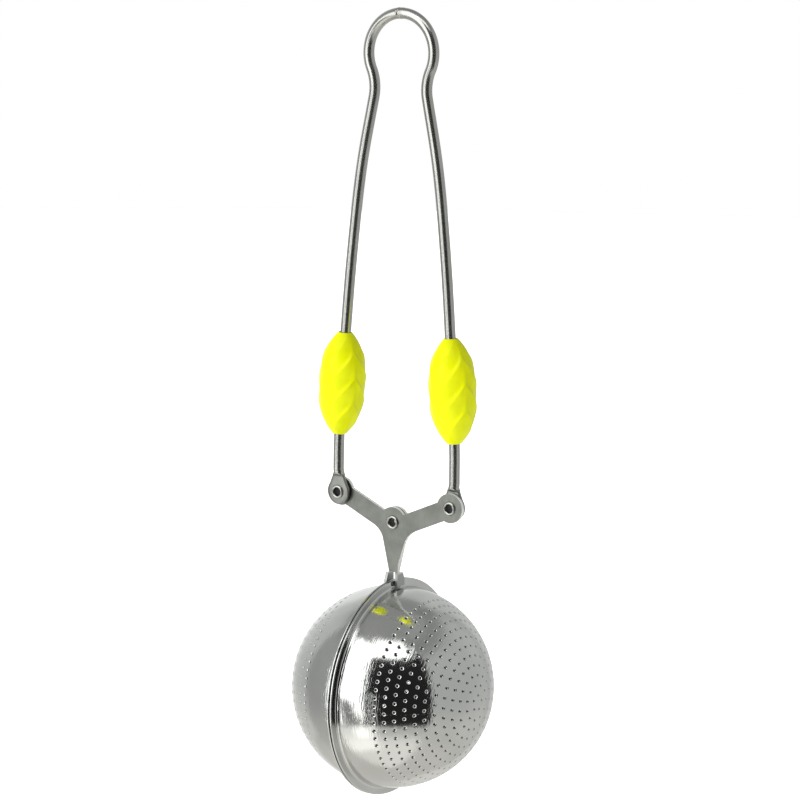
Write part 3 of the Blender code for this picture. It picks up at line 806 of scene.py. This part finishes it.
STREAK_RISE = (0.78, 1.0)                   # its slope, and its height at azimuth 0
STREAK_EDGE = (1.2, 2.6)                    # it fades between these distances from its line
SHADE = (-29, 4, -33, -4, 4)                # grey triangle in the softbox's lower part
SHADE_SLOPE = (-2.28, -35.0)                # its slanting edge: slope, and height at azimuth 0
SHADE_DEPTH = 0.24


def studio_world():
    """Pale surround whose brightness depends only on direction; to the camera itself it is plain white."""
    world = bpy.data.worlds.new("studio")
    bpy.context.scene.world = world
    world.use_nodes = True
    nodes = Nodes(world.node_tree)
    background = world.node_tree.nodes["Background"]
    split = nodes.add("ShaderNodeSeparateXYZ")
    nodes.link(nodes.add("ShaderNodeTexCoord").outputs["Generated"], split.inputs[0])
    x, y, z = split.outputs
    to_degrees = 180 / math.pi
    turn = nodes.math("MULTIPLY", nodes.math("ARCTAN2", x, nodes.math("MULTIPLY", y, -1.0)), to_degrees)
    rise = nodes.math("MULTIPLY", nodes.math("ARCSINE", z), to_degrees)

    def window(value, low, high, soft):
        return nodes.math("MULTIPLY", nodes.remap(value, low - soft, low + soft),
                          nodes.remap(value, high - soft, high + soft, 1.0, 0.0))

    def panel(left, right, bottom, top, soft):
        return nodes.math("MULTIPLY", window(turn, left, right, soft), window(rise, bottom, top, soft))

    def add_light(level, mask, strength):
        return nodes.math("ADD", level, nodes.math("MULTIPLY", mask, strength))

    level = nodes.remap(rise, -58, -5, 0.70, 0.50)
    level = nodes.math("SUBTRACT", level, nodes.remap(rise, 30, 58, 0.0, 0.15))
    for place, strength in WALLS:
        level = add_light(level, panel(*place), strength)
    slope, height = SHADE_SLOPE
    shade_line = nodes.math("MULTIPLY", turn, slope)
    below_slope = nodes.math("SUBTRACT", shade_line, nodes.math("ADD", rise, -height))
    shade = nodes.math("MULTIPLY", nodes.remap(below_slope, -6, 4),
                       nodes.remap(below_slope, 30, 90, 1.0, 0.7))
    shade = nodes.math("MULTIPLY", shade, panel(*SHADE))
    level = add_light(level, shade, -SHADE_DEPTH)
    softbox = nodes.math("MULTIPLY", panel(*SOFTBOX), nodes.math("SUBTRACT", 1.0, shade))
    slope, height = STREAK_RISE
    streak_line = nodes.math("ADD", nodes.math("MULTIPLY", turn, slope), height)
    off_line = nodes.math("ABSOLUTE", nodes.math("SUBTRACT", rise, streak_line))
    streak = nodes.math("MULTIPLY", nodes.remap(off_line, *STREAK_EDGE, 1.0, 0.0),
                        window(turn, *STREAK_TURN))
    for light in (softbox, panel(*TOP_LIGHT), streak):
        level = add_light(level, light, LIGHT_STRENGTH)
    card = nodes.math("SUBTRACT", 1.0, nodes.math("MULTIPLY", panel(*CARD), CARD_DARKNESS))
    level = nodes.math("MULTIPLY", level, card)
    level = add_light(level, panel(*SLIT), SLIT_STRENGTH)
    warm, cool = (1.0, 0.985, 0.93), (0.98, 1.0, 0.985)
    nodes.link(nodes.blend(nodes.remap(rise, -60, 0), warm, cool), background.inputs["Color"])
    nodes.link(level, background.inputs["Strength"])
    pale = nodes.add("ShaderNodeBackground")
    pale.inputs["Color"].default_value = (1, 1, 1, 1)
    choose = nodes.add("ShaderNodeMixShader")
    nodes.link(nodes.add("ShaderNodeLightPath").outputs["Is Camera Ray"], choose.inputs[0])
    nodes.link(background.outputs[0], choose.inputs[1])
    nodes.link(pale.outputs[0], choose.inputs[2])
    nodes.link(choose.outputs[0], world.node_tree.nodes["World Output"].inputs["Surface"])


FLOOR_RADIUS = 6.0
FLOOR_Z = -0.6
KEY_PLACE = Vector((-0.55, -0.85, 0.35))
KEY_AIM = Vector((0, 0, -0.1))
CAMERA_PLACE = Vector((0.316, -0.462, 0.00905))
CAMERA_AIM = Vector((0.00094, 0.0, -0.0862))
CAMERA_ROLL = math.radians(0.75)


def studio_floor():
    """Pale floor well below the hanging object, which doesn't mirror it."""
    material, _, shader = new_material("floor_paper")
    shader.inputs["Base Color"].default_value = (0.9, 0.9, 0.89, 1)
    shader.inputs["Roughness"].default_value = 0.9
    shader.inputs["Emission Color"].default_value = (1, 1, 0.99, 1)
    shader.inputs["Emission Strength"].default_value = 0.8
    bm = bmesh.new()
    bmesh.ops.create_circle(bm, cap_ends=True, segments=96, radius=FLOOR_RADIUS)
    mesh = bpy.data.meshes.new("floor")
    bm.to_mesh(mesh)
    bm.free()
    mesh.materials.append(material)
    floor = bpy.data.objects.new("floor", mesh)
    floor.location = (0, 0, FLOOR_Z)
    floor.visible_glossy = False
    bpy.context.scene.collection.objects.link(floor)


def studio_light():
    """Soft lamp at the front left that no surface mirrors."""
    lamp = bpy.data.lights.new("key", "AREA")
    lamp.shape = "RECTANGLE"
    lamp.size = 0.6
    lamp.size_y = 0.9
    lamp.energy = 8.4
    key = bpy.data.objects.new("key", lamp)
    key.location = KEY_PLACE
    key.rotation_euler = (KEY_AIM - KEY_PLACE).to_track_quat("-Z", "Y").to_euler()
    key.visible_glossy = False
    key.visible_camera = False
    bpy.context.scene.collection.objects.link(key)


def studio_camera():
    """The photograph's view, slightly rolled."""
    camera = bpy.data.cameras.new("camera")
    camera.lens = 111.6
    camera.sensor_width = 36.0
    camera.clip_start = 0.01
    camera.clip_end = 50.0
    obj = bpy.data.objects.new("camera", camera)
    look = (CAMERA_AIM - CAMERA_PLACE).normalized()
    level_right = look.cross(UP).normalized()
    level_up = level_right.cross(look)
    c, s = math.cos(CAMERA_ROLL), math.sin(CAMERA_ROLL)
    right, up = level_right * c + level_up * s, level_up * c - level_right * s
    obj.matrix_world = Matrix((right, up, -look)).transposed().to_4x4()
    obj.location = CAMERA_PLACE
    bpy.context.scene.collection.objects.link(obj)
    bpy.context.scene.camera = obj


studio_world()
studio_floor()
studio_light()
studio_camera()
bpy.context.scene.view_settings.view_transform = "Standard"
